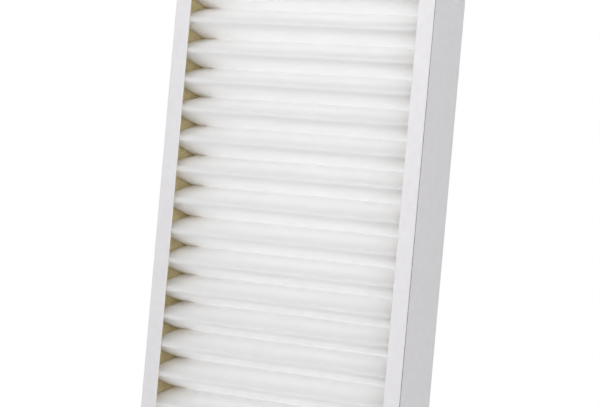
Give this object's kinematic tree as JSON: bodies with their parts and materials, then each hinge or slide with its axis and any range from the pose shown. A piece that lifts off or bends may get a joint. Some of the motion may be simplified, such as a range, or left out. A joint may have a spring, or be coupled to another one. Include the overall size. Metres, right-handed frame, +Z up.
{
  "type": "pleated panel air filter",
  "caption": "Rectangular panel air filter: a zigzag pleated fibre sheet glued into a white-faced card frame of folded channels with mitred corners.",
  "frame": {"origin": "middle of the bottom face, on which the filter stands", "axes": "+X along the width, +Y the way the air goes (the front face is at -Y), +Z up along the height"},
  "size_m": [0.287, 0.048, 0.592],
  "materials": {
    "frame_board": "white coated outer face, brown kraft inside and at cut edges",
    "adhesive": "amber hot-melt over kraft board",
    "filter_media": "white non-woven synthetic fibre"
  },
  "bodies": {
    "root": {"left_side_channel": "frame_board", "right_side_channel": "frame_board", "bottom_channel": "frame_board", "top_channel": "frame_board", "left_glue_bed": "adhesive", "right_glue_bed": "adhesive", "bottom_glue_bed": "adhesive", "top_glue_bed": "adhesive", "pleated_media": "filter_media"}
  },
  "joints": []
}
